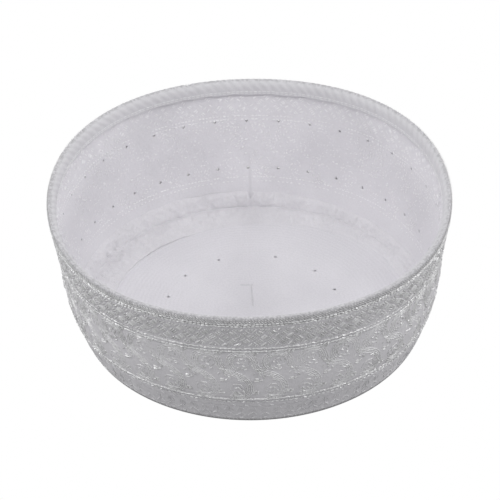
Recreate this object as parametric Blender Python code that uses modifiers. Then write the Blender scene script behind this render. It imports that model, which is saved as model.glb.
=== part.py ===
# Round prayer cap of white embroidered cotton, lying open side up on its flat crown.
# Metres, +Z up, -Y towards the front; the crown's outer face lies on z = 0, under the origin.
import math

import bmesh
import bpy
import mathutils

# Side band: a tapered wall that narrows from the rim down to the crown
RIM_RADIUS = 0.0915
BAND_DEPTH = 0.0688
BAND_THICKNESS = 0.0012
# Share of the band's depth, and the wall's lean from upright there, in degrees
BAND_LEANS = ((0.17, 10.9), (0.50, 5.6), (0.83, 20.1))
# Waves of the plan at the rim, which die out at the crown: waves round the cap, share of the radius
PLAN_WAVES = ((2, -0.0103), (4, -0.0129))
# The crown has settled a little to the right of the rim
CROWN_SHIFT = 0.0007
BAND_STEPS = 10

# Rim binding: a strip folded over the band's upper edge and stitched through it
BINDING_THICKNESS = 0.0010
BINDING_OUTER_DEPTH = 0.0042
BINDING_INNER_DEPTH = 0.0074
BINDING_FOLD = 0.0006
BAND_EDGE_DEPTH = 0.0026
TUCK_RUN = 0.0022

# Crown: a flat quilted disc
CROWN_THICKNESS = 0.0016

# Seam allowances: the edges of band and crown turned inside the cap at the crown seam
ALLOWANCE_THICKNESS = 0.0010
ALLOWANCE_STEPS = 4

# Eyelets: small holes worked through the cloth
EYELET_RADIUS = 0.00075
EYELET_SIDES = 8
BAND_EYELETS = 36
BAND_EYELET_DEPTHS = (0.0212, 0.0462)
FIRST_EYELET = math.radians(0.6)
CROWN_EYELET_RING = 0.040
# Hand-set directions of the crown's eyelets, in degrees
CROWN_EYELETS = (19, 43, 74, 113, 141, 166, 195, 225, 255, 285, 315, 345)

# Clear gap between pieces that are stitched face to face
SEAM_GAP = 0.0003
COLUMNS = 72
PROFILE_STEPS = 120

# Widths of the seam allowances, by direction round the cap in degrees
ALLOWANCE_COLUMNS = ("direction", "band_height", "crown_width")
ALLOWANCE_ROWS = (
    (0, 0.0090, 0.0050),
    (25, 0.0086, 0.0042),
    (46, 0.0088, 0.0050),
    (62, 0.0093, 0.0075),
    (80, 0.0102, 0.0104),
    (100, 0.0108, 0.0116),
    (130, 0.0112, 0.0118),
    (200, 0.0110, 0.0115),
    (235, 0.0105, 0.0103),
    (285, 0.0098, 0.0080),
    (330, 0.0092, 0.0058),
)


def clear_scene():
    for thing in list(bpy.data.objects):
        bpy.data.objects.remove(thing, do_unlink=True)


def new_collection(name):
    collection = bpy.data.collections.new(name)
    bpy.context.scene.collection.children.link(collection)
    return collection


def cloth(name, colour, roughness):
    material = bpy.data.materials.new(name)
    material.use_nodes = True
    shader = material.node_tree.nodes["Principled BSDF"]
    shader.inputs["Base Color"].default_value = (*colour, 1.0)
    shader.inputs["Roughness"].default_value = roughness
    shader.inputs["Metallic"].default_value = 0.0
    return material


def smooth(share):
    return share * share * (3.0 - 2.0 * share)


def band_lean(share):
    # Radians from upright: straight between the table's places, level beyond them
    share = min(max(share, BAND_LEANS[0][0]), BAND_LEANS[-1][0])
    for (low, first), (high, last) in zip(BAND_LEANS, BAND_LEANS[1:]):
        if share <= high:
            return math.radians(first + (last - first) * (share - low) / (high - low))


def band_profile():
    # (radius, drop below the rim, lean) at even steps down the cloth
    step = BAND_DEPTH / PROFILE_STEPS
    radius, drop = RIM_RADIUS, 0.0
    rows = [(radius, drop, band_lean(0.0))]
    for index in range(PROFILE_STEPS):
        lean = band_lean((index + 0.5) / PROFILE_STEPS)
        radius -= math.sin(lean) * step
        drop += math.cos(lean) * step
        rows.append((radius, drop, band_lean((index + 1) / PROFILE_STEPS)))
    return rows


PROFILE = band_profile()
RIM_HEIGHT = PROFILE[-1][1]


def plan_factor(direction, depth):
    fade = 1.0 - depth / BAND_DEPTH
    return 1.0 + fade * sum(share * math.cos(waves * direction) for waves, share in PLAN_WAVES)


def band_section(direction, depth, lift=0.0):
    # (radius, height) on the band's outer face, moved out along its normal by lift
    place = min(max(depth / BAND_DEPTH * PROFILE_STEPS, 0.0), PROFILE_STEPS)
    index = min(int(place), PROFILE_STEPS - 1)
    low, high = PROFILE[index], PROFILE[index + 1]
    radius, drop, lean = (a + (b - a) * (place - index) for a, b in zip(low, high))
    radius = radius * plan_factor(direction, depth) + lift * math.cos(lean)
    return radius, RIM_HEIGHT - drop - lift * math.sin(lean)


def polar(direction, radius, height):
    # The axis leans with height, from the crown's centre to the rim's
    across = CROWN_SHIFT * (1.0 - height / RIM_HEIGHT)
    flat = (radius * math.cos(direction) + across, radius * math.sin(direction))
    return mathutils.Vector((*flat, height))


def direction_of(column):
    # Column edges fall between the eyelets
    return FIRST_EYELET + (column + 0.5) * math.tau / COLUMNS


def cloth_ring(name, section, thickness, material, collection):
    # An open strip round the cap, one section for each direction, thickened on its hidden side
    mesh = bmesh.new()
    rings = []
    for column in range(COLUMNS):
        direction = direction_of(column)
        rings.append([mesh.verts.new(polar(direction, *place)) for place in section(direction)])
    for here, after in zip(rings, rings[1:] + rings[:1]):
        for low in range(len(here) - 1):
            mesh.faces.new((here[low], after[low], after[low + 1], here[low + 1]))
    return cloth_object(name, mesh, thickness, material, collection)


def cloth_object(name, mesh, thickness, material, collection):
    data = bpy.data.meshes.new(name)
    mesh.to_mesh(data)
    mesh.free()
    data.materials.append(material)
    thing = bpy.data.objects.new(name, data)
    collection.objects.link(thing)
    if thickness:
        solid = thing.modifiers.new("cloth thickness", "SOLIDIFY")
        solid.thickness = thickness
        solid.offset = -1.0
        solid.use_even_offset = True
    return thing


def band_outside(direction):
    # The band's upper edge is tucked in under the binding
    tuck = BINDING_THICKNESS + SEAM_GAP
    tuck_end = BINDING_OUTER_DEPTH + TUCK_RUN
    depths = [tuck_end + (BAND_DEPTH - tuck_end) * step / BAND_STEPS for step in range(BAND_STEPS, -1, -1)]
    rows = [band_section(direction, depth) for depth in depths]
    rows.append(band_section(direction, BINDING_OUTER_DEPTH, -tuck))
    rows.append(band_section(direction, BAND_EDGE_DEPTH, -tuck))
    return rows


def binding_outside(direction):
    # Up the outside, over the pinched fold and down the inside of the band
    inner_face = -(2 * BINDING_THICKNESS + 2 * SEAM_GAP + BAND_THICKNESS)
    fold_face = -(2 * BINDING_THICKNESS + 2 * SEAM_GAP)
    path = (
        (BINDING_OUTER_DEPTH, 0.0),
        (2 * BINDING_FOLD, 0.0),
        (0.5 * BINDING_FOLD, 0.15 * fold_face),
        (0.0, 0.5 * fold_face),
        (0.5 * BINDING_FOLD, 0.85 * fold_face),
        (1.5 * BINDING_FOLD, fold_face),
        (BAND_EDGE_DEPTH - SEAM_GAP, inner_face),
        (BINDING_INNER_DEPTH, inner_face),
    )
    return [band_section(direction, depth, lift) for depth, lift in path]


def allowance(direction):
    # Named values for one direction, eased between the rows of the table
    degrees = math.degrees(direction) % 360.0
    before = [row for row in ALLOWANCE_ROWS if row[0] <= degrees][-1]
    after = next((row for row in ALLOWANCE_ROWS if row[0] > degrees), (360, *ALLOWANCE_ROWS[0][1:]))
    share = smooth((degrees - before[0]) / (after[0] - before[0]))
    return {name: a + (b - a) * share for name, a, b in zip(ALLOWANCE_COLUMNS, before, after)}


def band_allowance_outside(direction):
    # Turned up against the inside of the band, from just above the crown
    foot = BAND_DEPTH - CROWN_THICKNESS - 2 * SEAM_GAP
    head = BAND_DEPTH - allowance(direction)["band_height"]
    lift = -(BAND_THICKNESS + SEAM_GAP)
    depths = [foot + (head - foot) * step / ALLOWANCE_STEPS for step in range(ALLOWANCE_STEPS + 1)]
    return [band_section(direction, depth, lift) for depth in depths]


def crown_allowance_outside(direction):
    # Turned in and fallen flat on to the crown
    height = CROWN_THICKNESS + ALLOWANCE_THICKNESS + 2 * SEAM_GAP
    lift = -(BAND_THICKNESS + ALLOWANCE_THICKNESS + 4 * SEAM_GAP)
    root, _ = band_section(direction, BAND_DEPTH - height, lift)
    width = allowance(direction)["crown_width"]
    return [(root - width * step / ALLOWANCE_STEPS, height) for step in range(ALLOWANCE_STEPS + 1)]


def eyelet_cutters(name, places, length, collection):
    # Short rods, each along its own axis, joined in one cutting object
    mesh = bmesh.new()
    for centre, axis in places:
        turn = axis.to_track_quat("Z", "Y").to_matrix().to_4x4()
        turn.translation = centre
        bmesh.ops.create_cone(
            mesh, cap_ends=True, segments=EYELET_SIDES, depth=length,
            radius1=EYELET_RADIUS, radius2=EYELET_RADIUS, matrix=turn,
        )
    data = bpy.data.meshes.new(name)
    mesh.to_mesh(data)
    mesh.free()
    cutter = bpy.data.objects.new(name, data)
    cutter.hide_render = True
    cutter.display_type = "WIRE"
    collection.objects.link(cutter)
    return cutter


def band_eyelet_places():
    places = []
    for depth in BAND_EYELET_DEPTHS:
        for index in range(BAND_EYELETS):
            direction = FIRST_EYELET + index * math.tau / BAND_EYELETS
            middle = polar(direction, *band_section(direction, depth, -BAND_THICKNESS / 2))
            outside = polar(direction, *band_section(direction, depth, BAND_THICKNESS))
            places.append((middle, (outside - middle).normalized()))
    return places


def crown_eyelet_places():
    up = mathutils.Vector((0.0, 0.0, 1.0))
    ring = [polar(math.radians(turn), CROWN_EYELET_RING, CROWN_THICKNESS / 2) for turn in CROWN_EYELETS]
    return [(centre, up) for centre in ring]


def cut(thing, cutter):
    boolean = thing.modifiers.new("eyelets", "BOOLEAN")
    boolean.operation = "DIFFERENCE"
    boolean.solver = "EXACT"
    boolean.object = cutter


def build_side_band(collection, cutters):
    white = cloth("side_band_cotton", (0.80, 0.80, 0.82), 0.75)
    band = cloth_ring("side_band", band_outside, BAND_THICKNESS, white, collection)
    rods = eyelet_cutters("band_eyelet_cutter", band_eyelet_places(), 4 * BAND_THICKNESS, cutters)
    cut(band, rods)


def build_rim_binding(collection):
    white = cloth("rim_binding_cotton", (0.78, 0.78, 0.79), 0.80)
    cloth_ring("rim_binding", binding_outside, BINDING_THICKNESS, white, collection)


def build_crown_panel(collection, cutters):
    white = cloth("crown_panel_cotton", (0.82, 0.82, 0.84), 0.80)
    inner_radius, _ = band_section(0.0, BAND_DEPTH, -BAND_THICKNESS)
    mesh = bmesh.new()
    bmesh.ops.create_cone(
        mesh, cap_ends=True, segments=COLUMNS, depth=CROWN_THICKNESS,
        radius1=inner_radius - SEAM_GAP, radius2=inner_radius - SEAM_GAP,
    )
    crown = cloth_object("crown_panel", mesh, 0.0, white, collection)
    crown.location = (CROWN_SHIFT, 0.0, CROWN_THICKNESS / 2)
    rods = eyelet_cutters("crown_eyelet_cutter", crown_eyelet_places(), 3 * CROWN_THICKNESS, cutters)
    cut(crown, rods)


def build_allowances(collection):
    white = cloth("seam_allowance_cotton", (0.82, 0.82, 0.84), 0.85)
    cloth_ring("band_allowance", band_allowance_outside, ALLOWANCE_THICKNESS, white, collection)
    cloth_ring("crown_allowance", crown_allowance_outside, ALLOWANCE_THICKNESS, white, collection)


def main():
    clear_scene()
    cap = new_collection("prayer_cap")
    cutters = new_collection("eyelet_cutters")
    build_side_band(cap, cutters)
    build_rim_binding(cap)
    build_crown_panel(cap, cutters)
    build_allowances(cap)


main()
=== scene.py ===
import math

import bmesh
import bpy
import mathutils
import numpy as np
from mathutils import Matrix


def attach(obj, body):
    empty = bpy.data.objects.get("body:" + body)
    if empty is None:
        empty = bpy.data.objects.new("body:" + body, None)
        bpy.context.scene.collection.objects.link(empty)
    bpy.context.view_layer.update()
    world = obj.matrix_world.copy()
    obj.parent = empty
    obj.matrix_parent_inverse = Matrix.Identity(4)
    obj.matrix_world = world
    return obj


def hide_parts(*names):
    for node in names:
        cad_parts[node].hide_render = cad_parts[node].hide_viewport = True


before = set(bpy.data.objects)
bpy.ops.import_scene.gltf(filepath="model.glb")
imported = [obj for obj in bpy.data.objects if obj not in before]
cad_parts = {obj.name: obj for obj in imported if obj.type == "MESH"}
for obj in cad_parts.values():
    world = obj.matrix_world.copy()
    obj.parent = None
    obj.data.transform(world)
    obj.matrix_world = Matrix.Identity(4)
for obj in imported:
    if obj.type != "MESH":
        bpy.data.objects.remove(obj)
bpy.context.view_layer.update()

# Camera
# The cap lies open side up, seen from the front and from 37 degrees above the table,
# through a long lens that was held about one degree out of level.
EYE = mathutils.Vector((-0.00014, -0.96044, 0.75404))
AIM = mathutils.Vector((-0.00014, 0.0, 0.03463))
LENS = 192.45
FILM_WIDTH = 36.0
TILT_DEGREES = -1.046

scene = bpy.context.scene


def stand(name, data):
    """Put a new object in the scene."""
    made = bpy.data.objects.new(name, data)
    scene.collection.objects.link(made)
    return made


camera_data = bpy.data.cameras.new("camera")
camera_data.sensor_width = FILM_WIDTH
camera_data.lens = LENS
camera = stand("camera", camera_data)
facing = (AIM - EYE).to_track_quat("-Z", "Y").to_matrix().to_4x4()
level = mathutils.Matrix.Rotation(math.radians(TILT_DEGREES), 4, "Z")
camera.matrix_world = mathutils.Matrix.Translation(EYE) @ facing @ level
scene.camera = camera

# Light and floor
# A bright tent stands over a lit white table, so the ground shows no shadow and the inside of
# the cap is evenly bright. Dark boards at both sides and small soft lights beside them make the
# raised threads glint.
TENT_WALL = (0.54, 0.54, 0.55, 1.0)
TENT_ROOF = (0.98, 0.98, 0.99, 1.0)
SIDE_BOARD = (0.26, 0.26, 0.27, 1.0)
BELOW_TABLE = (0.32, 0.32, 0.32, 1.0)
TABLE_WHITE = (1.0, 1.0, 1.0, 1.0)
TABLE_REACH = 3.0
LIGHT_SIZE = 0.09
LIGHT_TARGET = mathutils.Vector((0.0, 0.0, 0.03))
# Name, place at the right and power of each light, which has a twin at the left
LIGHTS = (
    ("front", (0.85, -0.35, 0.62), 1.7),
    ("back", (0.95, 0.15, 0.50), 0.1),
    ("low", (0.93, 0.35, 0.22), 1.1),
)


class Wire:
    """A socket in a node tree; arithmetic on it adds Math nodes."""

    def __init__(self, tree, socket=None):
        self.tree = tree
        self.socket = socket

    def node(self, kind, settings=(), sockets=(), output=0):
        made = self.tree.nodes.new(kind)
        for name, value in dict(settings).items():
            setattr(made, name, value)
        for name, value in dict(sockets).items():
            if isinstance(value, Wire):
                self.tree.links.new(value.socket, made.inputs[name])
            else:
                made.inputs[name].default_value = value
        return Wire(self.tree, made.outputs[output] if made.outputs else None)

    def other(self, output):
        return Wire(self.tree, self.socket.node.outputs[output])

    def maths(self, operation, *values):
        return self.node("ShaderNodeMath", {"operation": operation}, dict(enumerate((self, *values))))

    def __add__(self, value):
        return self.maths("ADD", value)

    def __sub__(self, value):
        return self.maths("SUBTRACT", value)

    def __rsub__(self, value):
        return self.node("ShaderNodeMath", {"operation": "SUBTRACT"}, {0: value, 1: self})

    def __mul__(self, value):
        return self.maths("MULTIPLY", value)

    def __abs__(self):
        return self.maths("ABSOLUTE")

    __radd__ = __add__
    __rmul__ = __mul__

    def most(self, value):
        return self.maths("MAXIMUM", value)

    def wave(self, pitch):
        """Even swells between 0 and 1, one to each pitch."""
        return (self * (math.tau / pitch)).maths("SINE") * 0.5 + 0.5

    def ramp(self, low, high):
        """Rise gently from 0 at low to 1 at high."""
        return self.node("ShaderNodeMapRange", {"interpolation_type": "SMOOTHSTEP"},
                         {0: self, 1: low, 2: high, 3: 0.0, 4: 1.0})

    def near(self, middle, full, end):
        """1 as far as full from the middle, and 0 from end on."""
        return 1 - abs(self - middle).ramp(full, end)

    def tint(self, low, high):
        """Colour that goes from low to high as this share goes from 0 to 1."""
        return self.node("ShaderNodeMix", {"data_type": "RGBA"}, {0: self, 6: low, 7: high}, 2)

    def scaled(self, share):
        """Colour made darker by a share."""
        return self.node("ShaderNodeVectorMath", {"operation": "SCALE"}, {0: self, "Scale": share})

    def noise(self, scale, detail):
        return self.node("ShaderNodeTexNoise", sockets={"Vector": self, "Scale": scale, "Detail": detail})


def shaped(name, points, edges, faces):
    """Put an object of these points, edges and faces in the scene."""
    mesh = bpy.data.meshes.new(name)
    mesh.from_pydata(points, edges, faces)
    return stand(name, mesh)


def bare_material(name):
    """A material with no nodes yet, and the wire that its nodes start from."""
    material = bpy.data.materials.new(name)
    material.use_nodes = True
    material.node_tree.nodes.clear()
    return material, Wire(material.node_tree)


scene.view_settings.view_transform = "Standard"
scene.view_settings.look = "None"
tent = bpy.data.worlds.new("tent")
scene.world = tent
tent.use_nodes = True
tent.node_tree.nodes.clear()
start = Wire(tent.node_tree)
direction = start.node("ShaderNodeTexCoord", output="Generated")
rightward = start.node("ShaderNodeSeparateXYZ", sockets={0: direction})
upward = rightward.other("Z")
walls = abs(rightward).ramp(0.60, 0.95).tint(TENT_WALL, SIDE_BOARD)
sides = upward.ramp(-0.06, 0.06).tint(BELOW_TABLE, walls)
sky = upward.ramp(0.30, 0.95).tint(sides, TENT_ROOF)
shade = start.node("ShaderNodeBackground", sockets={"Color": sky, "Strength": 1.0})
start.node("ShaderNodeOutputWorld", sockets={"Surface": shade})

for name, (x, y, z), power in LIGHTS:
    for side, sign in (("left", -1.0), ("right", 1.0)):
        light_data = bpy.data.lights.new(f"{name}_{side}", "AREA")
        light_data.size = LIGHT_SIZE
        light_data.energy = power
        light = stand(f"{name}_{side}", light_data)
        light.location = (sign * x, y, z)
        light.rotation_euler = (LIGHT_TARGET - light.location).to_track_quat("-Z", "Y").to_euler()

corners = [(x * TABLE_REACH, y * TABLE_REACH, 0.0) for x, y in ((-1, -1), (1, -1), (1, 1), (-1, 1))]
floor = shaped("floor", corners, [], [(0, 1, 2, 3)])
lit_table, start = bare_material("lit_table")
glow = start.node("ShaderNodeEmission", sockets={"Color": TABLE_WHITE, "Strength": 1.0})
start.node("ShaderNodeOutputMaterial", sockets={"Surface": glow})
floor.data.materials.append(lit_table)
floor.visible_diffuse = False
floor.visible_glossy = False
floor.visible_shadow = False

# Side band
# The wall of the cap: one strip of white cotton over a soft backing, sewn into a ring at the
# back and cut so that it narrows towards the crown, with two rows of eyelets worked through.
RIM_RADIUS = 0.0915
BAND_RADIUS = 0.088
BAND_DEPTH = 0.0688
BAND_THICKNESS = 0.0012
# Share of the band's depth, and the wall's lean from upright there, in degrees
LEAN_SHARES = (0.17, 0.50, 0.83)
LEAN_DEGREES = (10.9, 5.6, 20.1)
PROFILE_STEPS = 120
# Waves of the plan at the rim, which die out at the crown: waves round the cap, share of the radius
PLAN_WAVES = ((2, -0.0103), (4, -0.0129))
CROWN_SHIFT = 0.0007
BACK = math.pi / 2
BAND_COLUMNS = 360
BAND_ROWS = 56
# The top edge stands back under the binding
BAND_EDGE_DEPTH = 0.0026
BINDING_OUTER_DEPTH = 0.0042
TUCK_END = 0.0052
TUCK = 0.0013
# Waves round the cap, turn of the wave for each metre down, and where it starts
BAND_WAVES = ((7, 90.0, 0.4), (11, -140.0, 2.1), (17, 60.0, 4.0), (23, 210.0, 1.2))
SWAY = 0.00022
# Depth and half width of the lines that the stitches pull in
PULLED_LINES = ((0.0196, 0.0012), (0.0522, 0.0014), (0.0049, 0.0008))
PULL = 0.00022
GATHERS = 94
GATHER_HEIGHT = 0.00020
GATHER_START = 0.058
SEAM_HALF_WIDTH = 0.0009487
SEAM_PULL = 0.00030
EYELETS = 36
EYELET_DEPTHS = (0.0212, 0.0462)
FIRST_EYELET = math.radians(0.6)
EYELET_RADIUS = 0.00062
PEG_SIDES = 10
PEG_REACH = 0.004

shares = np.linspace(0.0, 1.0, PROFILE_STEPS + 1)
profile_depths = shares * BAND_DEPTH
profile_leans = np.radians(np.interp(shares, LEAN_SHARES, LEAN_DEGREES))
step_leans = np.radians(np.interp((shares[1:] + shares[:-1]) / 2, LEAN_SHARES, LEAN_DEGREES))
step = BAND_DEPTH / PROFILE_STEPS
profile_radii = RIM_RADIUS - np.append(0.0, np.cumsum(np.sin(step_leans) * step))
profile_drops = np.append(0.0, np.cumsum(np.cos(step_leans) * step))
RIM_HEIGHT = profile_drops[-1]


def on_band(direction, depth, lift=0.0):
    """Point on the band's outer face at a depth below the rim, moved out by lift."""
    direction, depth, lift = np.broadcast_arrays(direction, depth, lift)
    plan = sum(share * np.cos(waves * direction) for waves, share in PLAN_WAVES)
    plan = 1.0 + (1.0 - depth / BAND_DEPTH) * plan
    lean = np.interp(depth, profile_depths, profile_leans)
    radius = np.interp(depth, profile_depths, profile_radii) * plan + lift * np.cos(lean)
    height = RIM_HEIGHT - np.interp(depth, profile_depths, profile_drops) - lift * np.sin(lean)
    across = CROWN_SHIFT * (1.0 - height / RIM_HEIGHT)
    return np.stack([radius * np.cos(direction) + across, radius * np.sin(direction), height], axis=-1)


def spread(columns, stations):
    """Even directions round the cap, each against every station of a section."""
    return np.meshgrid(np.linspace(0.0, math.tau, columns, endpoint=False), stations, indexing="ij")


def rise(value, start, end):
    """Grow evenly from 0 at start to 1 at end."""
    return np.clip((value - start) / (end - start), 0.0, 1.0)


def swell(value, middle, width, power=2):
    """A soft bump, 1 at the middle, that dies out over the width."""
    return np.exp(-np.abs((value - middle) / width) ** power)


def grain(directions, depths, waves):
    """Slow unevenness of hand-finished cloth, between -1 and 1."""
    total = sum(np.sin(turns * directions + depths * run + phase) for turns, run, phase in waves)
    return total / len(waves)


def turn_outwards(mesh):
    shape = bmesh.new()
    shape.from_mesh(mesh)
    if shape.calc_volume(signed=True) < 0.0:
        bmesh.ops.reverse_faces(shape, faces=shape.faces)
    shape.to_mesh(mesh)
    shape.free()


def lay_cloth(mesh, places, turn):
    """Keep each face corner's place on the cloth, carried past the join on the last faces round."""
    corners = np.empty(len(mesh.loops), dtype=np.int32)
    mesh.loops.foreach_get("vertex_index", corners)
    place = places[corners]
    starts = np.empty(len(mesh.polygons), dtype=np.int32)
    sizes = np.empty(len(mesh.polygons), dtype=np.int32)
    mesh.polygons.foreach_get("loop_start", starts)
    mesh.polygons.foreach_get("loop_total", sizes)
    owner = np.repeat(np.arange(len(starts)), sizes)
    widest = np.maximum.reduceat(place[:, 0], starts)[owner]
    place[:, 0] += np.where(widest - place[:, 0] > turn / 2, turn, 0.0)
    cloth = mesh.uv_layers.new(name="cloth")
    cloth.data.foreach_set("uv", place.astype(np.float32).ravel())


def ring_piece(name, points, laps, closed=True):
    """Cloth from sections [direction, place on the section]; laps holds each vertex's cloth place."""
    count, length = points.shape[:2]
    rows = length if closed else length - 1
    column, row = np.meshgrid(np.arange(count), np.arange(rows), indexing="ij")
    here, after = column * length, (column + 1) % count * length
    below = (row + 1) % length
    quads = np.stack([here + row, after + row, after + below, here + below], axis=-1)
    faces = quads.reshape(-1, 4).tolist()
    if not closed:
        faces.append([index * length for index in range(count)][::-1])
        faces.append([index * length + length - 1 for index in range(count)])
    piece = shaped(name, points.reshape(-1, 3).tolist(), [], faces)
    turn_outwards(piece.data)
    piece.data.shade_smooth()
    places = laps.reshape(-1, 2)
    lay_cloth(piece.data, places, places[:, 0].max() + places[length, 0] - places[0, 0])
    return piece


def carry(piece, attributes):
    """Let each point of the piece carry vectors or numbers by name."""
    for label, values in attributes.items():
        values = np.asarray(values, dtype=np.float32)
        kind, field = ("FLOAT", "value") if values.ndim == 1 else ("FLOAT_VECTOR", "vector")
        piece.data.attributes.new(label, kind, "POINT").data.foreach_set(field, values.ravel())


def use_tree(piece, tree, values):
    """Run the piece through a tree with these inputs and keep the result as its plain mesh."""
    modifier = piece.modifiers.new(tree.name, "NODES")
    modifier.node_group = tree
    for item in tree.interface.items_tree:
        if item.item_type == "SOCKET" and item.in_out == "INPUT" and item.name in values:
            modifier[item.identifier] = values[item.name]
    shown = piece.evaluated_get(bpy.context.evaluated_depsgraph_get())
    mesh = bpy.data.meshes.new_from_object(shown)
    # The tree can leave an empty slot before the material that it sets
    material = next(filter(None, mesh.materials))
    mesh.materials.clear()
    mesh.materials.append(material)
    piece.modifiers.clear()
    piece.data = mesh


def new_tree(name, inputs):
    """An empty tree with named inputs, and the wire from its group input."""
    tree = bpy.data.node_groups.new(name, "GeometryNodeTree")
    tree.interface.new_socket("Geometry", in_out="OUTPUT", socket_type="NodeSocketGeometry")
    tree.interface.new_socket("Geometry", in_out="INPUT", socket_type="NodeSocketGeometry")
    for label, kind in inputs.items():
        tree.interface.new_socket(label, in_out="INPUT", socket_type=kind)
    return tree, Wire(tree).node("NodeGroupInput")


def end_tree(given, geometry, cloth):
    """Make the tree's geometry real and give it the material of this input."""
    whole = given.node("GeometryNodeRealizeInstances", sockets={"Geometry": geometry})
    dyed = given.node("GeometryNodeSetMaterial", sockets={"Geometry": whole, "Material": given.other(cloth)})
    given.node("NodeGroupOutput", sockets={"Geometry": dyed})


def marks(name, points, attributes):
    """Loose points that carry vectors and numbers by name."""
    piece = shaped(name, points.tolist(), [], [])
    carry(piece, attributes)
    return piece


def band_frame(direction, depth, lift=0.0):
    """Place on the band with the unit vectors along it, down it and out of it."""
    direction = np.asarray(direction, dtype=float)
    depth = np.asarray(depth, dtype=float)
    place = on_band(direction, depth, lift)
    along = on_band(direction + 0.002, depth, lift) - on_band(direction - 0.002, depth, lift)
    down = on_band(direction, depth + 0.0004, lift) - on_band(direction, depth - 0.0004, lift)
    along /= np.linalg.norm(along, axis=-1, keepdims=True)
    down /= np.linalg.norm(down, axis=-1, keepdims=True)
    return place, along, down, np.cross(down, along)


up_outside = np.append(np.linspace(BAND_DEPTH, TUCK_END, BAND_ROWS), (BINDING_OUTER_DEPTH, BAND_EDGE_DEPTH))
up_lift = np.append(np.zeros(BAND_ROWS), (-TUCK, -TUCK))
section_depth = np.append(up_outside, up_outside[::-1])
section_lift = np.append(up_lift, up_lift[::-1] - BAND_THICKNESS)
outer_side = np.repeat((1.0, 0.0), len(up_outside))
around, depth = spread(BAND_COLUMNS, section_depth)
free = rise(depth, 0.008, 0.018) * rise(depth, BAND_DEPTH, BAND_DEPTH - 0.006)
relief = SWAY * free * grain(around, depth, BAND_WAVES)
for line, width in PULLED_LINES:
    relief -= PULL * swell(depth, line, width) * outer_side
gathered = rise(depth, GATHER_START, GATHER_START + 0.008) * rise(depth, BAND_DEPTH, BAND_DEPTH - 0.003)
relief += GATHER_HEIGHT * gathered * np.sin(GATHERS * around + 3 * np.sin(5 * around))
relief -= SEAM_PULL * swell((around - BACK) * BAND_RADIUS, 0.0, SEAM_HALF_WIDTH) * free
side_band = ring_piece("side_band_cloth", on_band(around, depth, section_lift + relief),
                       np.stack([around * BAND_RADIUS, depth], axis=-1))
carry(side_band, {"outer": np.broadcast_to(outer_side, depth.shape).ravel()})

# The eyelets are pierced through the cloth by a tree of pegs set on points
pierced, given = new_tree("pierced", {
    "Pegs": "NodeSocketObject", "Radius": "NodeSocketFloat", "Sides": "NodeSocketInt",
    "Reach": "NodeSocketFloat", "Cloth": "NodeSocketMaterial"})
peg = given.node("GeometryNodeMeshCylinder", sockets={
    "Vertices": given.other("Sides"), "Radius": given.other("Radius"), "Depth": given.other("Reach")})
places = given.node("GeometryNodeObjectInfo", sockets={"Object": given.other("Pegs")}, output="Geometry")
outward = given.node("GeometryNodeInputNamedAttribute", {"data_type": "FLOAT_VECTOR"}, {"Name": "out"})
aimed = given.node("FunctionNodeAlignRotationToVector", {"axis": "Z"}, {"Vector": outward})
pegs = given.node("GeometryNodeInstanceOnPoints", sockets={
    "Points": places, "Instance": peg, "Rotation": aimed})
whole = given.node("GeometryNodeRealizeInstances", sockets={"Geometry": pegs})
cut = given.node("GeometryNodeMeshBoolean", {"operation": "DIFFERENCE", "solver": "EXACT"},
                 {"Mesh 1": given.other("Geometry"), "Mesh 2": whole})
end_tree(given, cut, "Cloth")


def pierce(piece, pegs, radius, cloth):
    """Cut the eyelets out of the piece and give it its cloth."""
    use_tree(piece, pierced, {"Pegs": pegs, "Radius": radius, "Sides": PEG_SIDES, "Reach": PEG_REACH,
                              "Cloth": cloth})
    piece.data.shade_smooth()


def plain_weave(across, along, pitch):
    over, under = across.wave(pitch), along.wave(pitch)
    return over * under + (1 - over) * (1 - under)


def cotton_surface(start, tone, roughness, height, relief):
    bump = start.node("ShaderNodeBump", sockets={"Height": height, "Strength": 1.0, "Distance": relief})
    surface = start.node("ShaderNodeBsdfPrincipled", sockets={
        "Base Color": tone, "Roughness": roughness, "Normal": bump, "Sheen Weight": 0.12,
        "Sheen Roughness": 0.5, "Specular IOR Level": 0.25})
    start.node("ShaderNodeOutputMaterial", sockets={"Surface": surface})


def cotton(name, colour, shadow, weave_pitch, relief, shaded_hollows=None):
    """White cotton: a plain weave, slow changes of tone and a soft nap; hollows are pressed in and painted
    darker as shade.
    """
    material, start = bare_material(name)
    cloth = start.node("ShaderNodeUVMap", {"uv_map": "cloth"})
    across = start.node("ShaderNodeSeparateXYZ", sockets={0: cloth})
    along = across.other("Y")
    place = start.node("ShaderNodeTexCoord", output="Object")
    cloud = place.noise(55.0, 3.0)
    fleck = place.noise(1400.0, 2.0)
    crumple = place.noise(480.0, 3.0)
    tone = (cloud.ramp(0.3, 0.7) * 0.6 + fleck.ramp(0.35, 0.65) * 0.4).tint(shadow, colour)
    weave = plain_weave(across, along, weave_pitch)
    height = weave + fleck * 1.2 + crumple * 5.0
    if shaded_hollows:
        shaded_hollow, depth = shaded_hollows(start, across, along)
        # Painted shade: the hollows are drawn darker as well as pressed into the relief
        tone = shaded_hollow.tint(tone, tone.scaled(0.55))
        height = height - shaded_hollow * depth
    cotton_surface(start, tone, 0.85 - weave * 0.08, height, relief)
    return material


# Depth, half width and strength of the hollows beside the rows of stitches, pressed in and painted darker as
# shade
SEWN_SHADED_HOLLOWS = ((0.0215, 0.0005, 0.40), (0.0497, 0.0004, 0.25), (0.0682, 0.0012, 0.9))
TEETH = 95
TEETH_DEPTH = 0.0565
TOOTH_HEIGHT = 0.0015


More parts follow.
